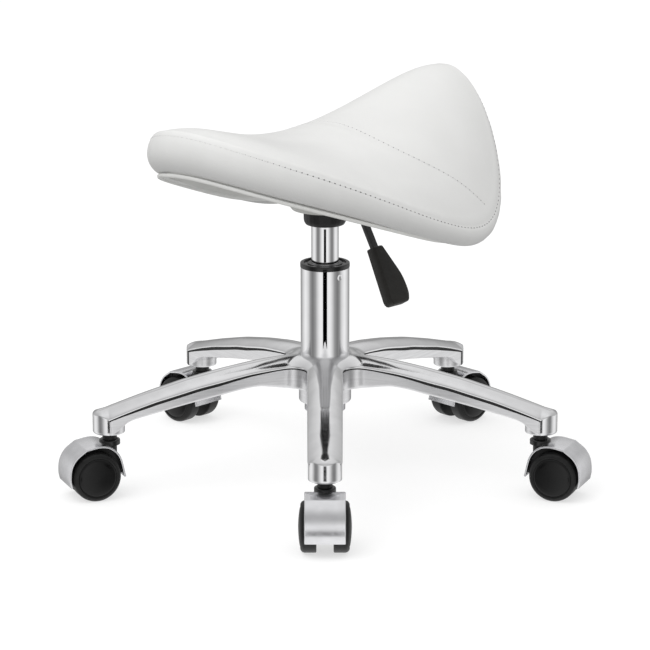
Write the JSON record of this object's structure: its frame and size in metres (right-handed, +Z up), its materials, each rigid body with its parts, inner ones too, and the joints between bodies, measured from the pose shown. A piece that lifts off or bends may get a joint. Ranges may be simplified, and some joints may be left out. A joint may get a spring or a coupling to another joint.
{
  "type": "saddle stool",
  "caption": "Low white saddle-shaped seat on a short chrome gas lift with a side release lever, on a polished star base with hooded twin-wheel casters.",
  "frame": {"origin": "on the floor, directly under the column's axis", "axes": "+Z up along the column; -Y towards the end of one base arm; the seat's front points 134 degrees clockwise from +X, seen from above"},
  "size_m": [0.5416, 0.5116, 0.4106],
  "materials": {
    "polished_aluminium": "polished",
    "chrome_steel": "polished",
    "zinc_steel": "satin",
    "black_plastic": "matte",
    "black_gloss": "gloss",
    "wheel_black": "satin",
    "chrome_plastic": "polished",
    "black_steel": "satin",
    "black_rubber": "matte",
    "white_leather": "satin",
    "foam": "matte",
    "plywood": "matte",
    "light_panel": "matte"
  },
  "bodies": {
    "base": {"star_base": "polished_aluminium", "caster_sockets": "zinc_steel", "column_tube": "chrome_steel", "guide_bush": "black_plastic", "column_end_cap": "zinc_steel", "bearing_races": "zinc_steel", "bearing_balls": "zinc_steel"},
    "lift_rod": {"piston_rod": "zinc_steel", "piston": "black_plastic", "rod_clip": "zinc_steel", "rubber_buffer": "black_rubber"},
    "seat": {"gas_cylinder": "chrome_steel", "cover_front": "white_leather", "cover_rear": "white_leather", "cover_band": "white_leather", "seat_foam": "foam", "seat_shell": "plywood", "seat_trim": "white_leather", "seat_pan": "light_panel", "mechanism_cover": "light_panel", "mechanism_plate": "black_steel", "plate_bolts": "zinc_steel", "cone_socket": "black_steel", "column_boot": "black_gloss", "lever_bracket": "black_steel", "lever_pin": "zinc_steel"},
    "valve_pin": {"release_pin": "zinc_steel"},
    "lever": {"lever_bar": "black_steel", "lever_paddle": "black_plastic"},
    "caster_front": {"caster_front_hood": "chrome_plastic", "caster_front_frame": "black_plastic", "caster_front_stem": "zinc_steel", "caster_front_axle": "zinc_steel"},
    "wheel_front_a": {"caster_front_wheel_a": "wheel_black"},
    "wheel_front_b": {"caster_front_wheel_b": "wheel_black"},
    "caster_left": {"caster_left_hood": "chrome_plastic", "caster_left_frame": "black_plastic", "caster_left_stem": "zinc_steel", "caster_left_axle": "zinc_steel"},
    "wheel_left_a": {"caster_left_wheel_a": "wheel_black"},
    "wheel_left_b": {"caster_left_wheel_b": "wheel_black"},
    "caster_right": {"caster_right_hood": "chrome_plastic", "caster_right_frame": "black_plastic", "caster_right_stem": "zinc_steel", "caster_right_axle": "zinc_steel"},
    "wheel_right_a": {"caster_right_wheel_a": "wheel_black"},
    "wheel_right_b": {"caster_right_wheel_b": "wheel_black"},
    "caster_back_left": {"caster_back_left_hood": "chrome_plastic", "caster_back_left_frame": "black_plastic", "caster_back_left_stem": "zinc_steel", "caster_back_left_axle": "zinc_steel"},
    "wheel_back_left_a": {"caster_back_left_wheel_a": "wheel_black"},
    "wheel_back_left_b": {"caster_back_left_wheel_b": "wheel_black"},
    "caster_back_right": {"caster_back_right_hood": "chrome_plastic", "caster_back_right_frame": "black_plastic", "caster_back_right_stem": "zinc_steel", "caster_back_right_axle": "zinc_steel"},
    "wheel_back_right_a": {"caster_back_right_wheel_a": "wheel_black"},
    "wheel_back_right_b": {"caster_back_right_wheel_b": "wheel_black"}
  },
  "joints": [
    {"name": "seat_swivel", "type": "hinge", "parent": "base", "child": "lift_rod", "pos_m": [0, 0, 0], "axis": [0, 0, 1], "continuous": true},
    {"name": "seat_height", "type": "slide", "parent": "lift_rod", "child": "seat", "axis": [0, 0, 1], "range_m": [0, 0.08]},
    {"name": "lever_lift", "type": "hinge", "parent": "seat", "child": "lever", "pos_m": [0.01726, -0.01667, 0.308], "axis": [-0.6947, -0.7193, 0], "range_deg": [0, 8], "stiffness_Nm_per_rad": 1.5, "springref_deg": -5.73},
    {"name": "valve_press", "type": "slide", "parent": "seat", "child": "valve_pin", "axis": [0, 0, 1], "range_m": [-0.0036, 0]},
    {"name": "front_caster_swivel", "type": "hinge", "parent": "base", "child": "caster_front", "pos_m": [0, -0.2291, 0.0653], "axis": [0, 0, 1], "continuous": true},
    {"name": "front_wheel_a_spin", "type": "hinge", "parent": "caster_front", "child": "wheel_front_a", "pos_m": [0, -0.2496, 0.025], "axis": [1, 0, 0], "continuous": true},
    {"name": "front_wheel_b_spin", "type": "hinge", "parent": "caster_front", "child": "wheel_front_b", "pos_m": [0, -0.2496, 0.025], "axis": [1, 0, 0], "continuous": true},
    {"name": "left_caster_swivel", "type": "hinge", "parent": "base", "child": "caster_left", "pos_m": [-0.21789, -0.0708, 0.0653], "axis": [0, 0, 1], "continuous": true},
    {"name": "left_wheel_a_spin", "type": "hinge", "parent": "caster_left", "child": "wheel_left_a", "pos_m": [-0.23676, -0.07881, 0.025], "axis": [0.3907, -0.9205, 0], "continuous": true},
    {"name": "left_wheel_b_spin", "type": "hinge", "parent": "caster_left", "child": "wheel_left_b", "pos_m": [-0.23676, -0.07881, 0.025], "axis": [0.3907, -0.9205, 0], "continuous": true},
    {"name": "right_caster_swivel", "type": "hinge", "parent": "base", "child": "caster_right", "pos_m": [0.21789, -0.0708, 0.0653], "axis": [0, 0, 1], "continuous": true},
    {"name": "right_wheel_a_spin", "type": "hinge", "parent": "caster_right", "child": "wheel_right_a", "pos_m": [0.23676, -0.07881, 0.025], "axis": [0.3907, 0.9205, 0], "continuous": true},
    {"name": "right_wheel_b_spin", "type": "hinge", "parent": "caster_right", "child": "wheel_right_b", "pos_m": [0.23676, -0.07881, 0.025], "axis": [0.3907, 0.9205, 0], "continuous": true},
    {"name": "back_left_caster_swivel", "type": "hinge", "parent": "base", "child": "caster_back_left", "pos_m": [-0.13466, 0.18535, 0.0653], "axis": [0, 0, 1], "continuous": true},
    {"name": "back_left_wheel_a_spin", "type": "hinge", "parent": "caster_back_left", "child": "wheel_back_left_a", "pos_m": [-0.14965, 0.19933, 0.025], "axis": [-0.682, -0.7314, 0], "continuous": true},
    {"name": "back_left_wheel_b_spin", "type": "hinge", "parent": "caster_back_left", "child": "wheel_back_left_b", "pos_m": [-0.14965, 0.19933, 0.025], "axis": [-0.682, -0.7314, 0], "continuous": true},
    {"name": "back_right_caster_swivel", "type": "hinge", "parent": "base", "child": "caster_back_right", "pos_m": [0.13466, 0.18535, 0.0653], "axis": [0, 0, 1], "continuous": true},
    {"name": "back_right_wheel_a_spin", "type": "hinge", "parent": "caster_back_right", "child": "wheel_back_right_a", "pos_m": [0.14965, 0.19933, 0.025], "axis": [-0.682, 0.7314, 0], "continuous": true},
    {"name": "back_right_wheel_b_spin", "type": "hinge", "parent": "caster_back_right", "child": "wheel_back_right_b", "pos_m": [0.14965, 0.19933, 0.025], "axis": [-0.682, 0.7314, 0], "continuous": true}
  ],
  "couplings": [
    {"joint": "valve_press", "follows": "lever_lift", "m_per_rad": -0.024}
  ]
}
